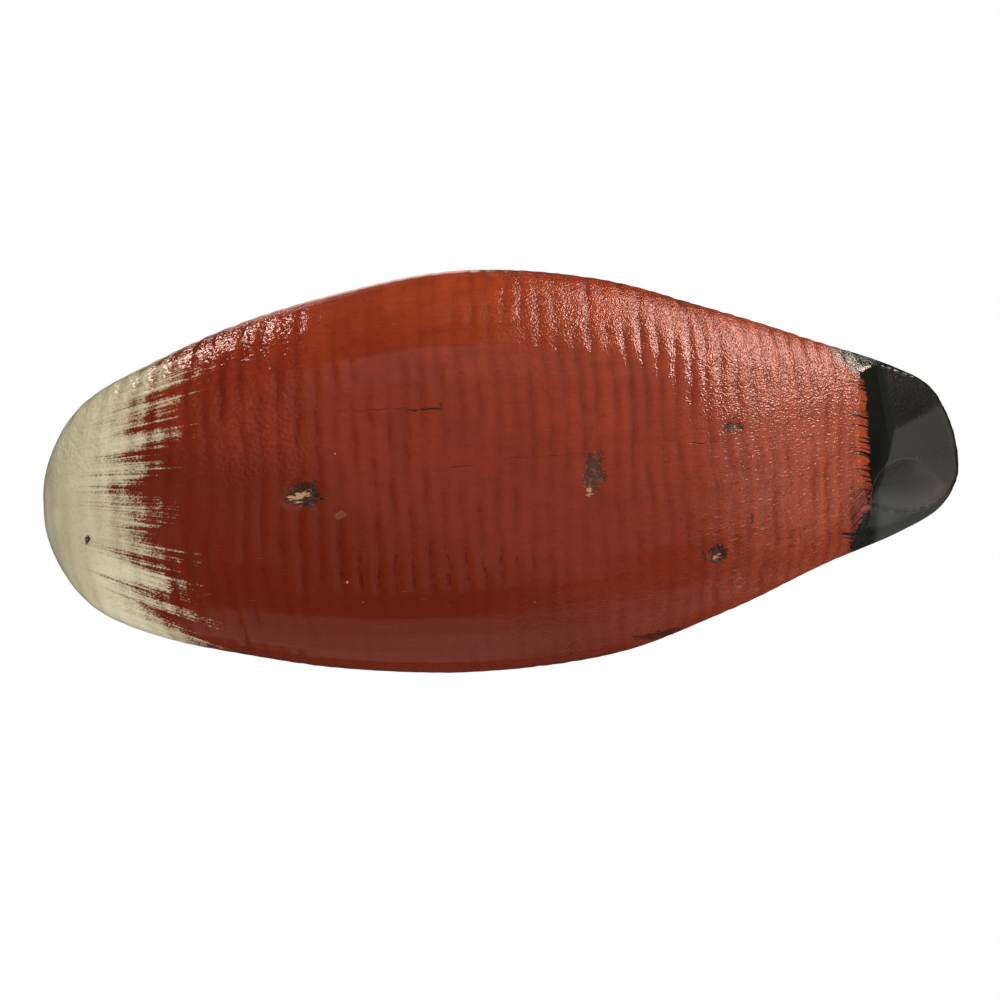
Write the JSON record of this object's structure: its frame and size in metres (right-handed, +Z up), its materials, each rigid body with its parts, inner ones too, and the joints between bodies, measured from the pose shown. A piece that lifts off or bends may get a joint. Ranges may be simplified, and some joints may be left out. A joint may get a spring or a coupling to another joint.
{
  "type": "duck decoy",
  "caption": "Hand-carved, painted wooden duck decoy: a solid body, flat underneath and knife-cut below the tail, with a neck, head and broad bill glued on top.",
  "frame": {"origin": "on the flat of the underside, halfway between breast and tail, on the body's middle line", "axes": "+X forward from the tail to the breast and bill, +Y to the bird's left, +Z up"},
  "size_m": [0.374, 0.1546, 0.1543],
  "materials": {
    "body_paint": "worn gloss oil paint on carved wood: cream breast, red-brown belly and sides, black below the tail",
    "head_paint": "worn gloss oil paint on carved wood, dark green-black with a black bill"
  },
  "bodies": {
    "root": {"body": "body_paint", "head": "head_paint"}
  },
  "joints": []
}
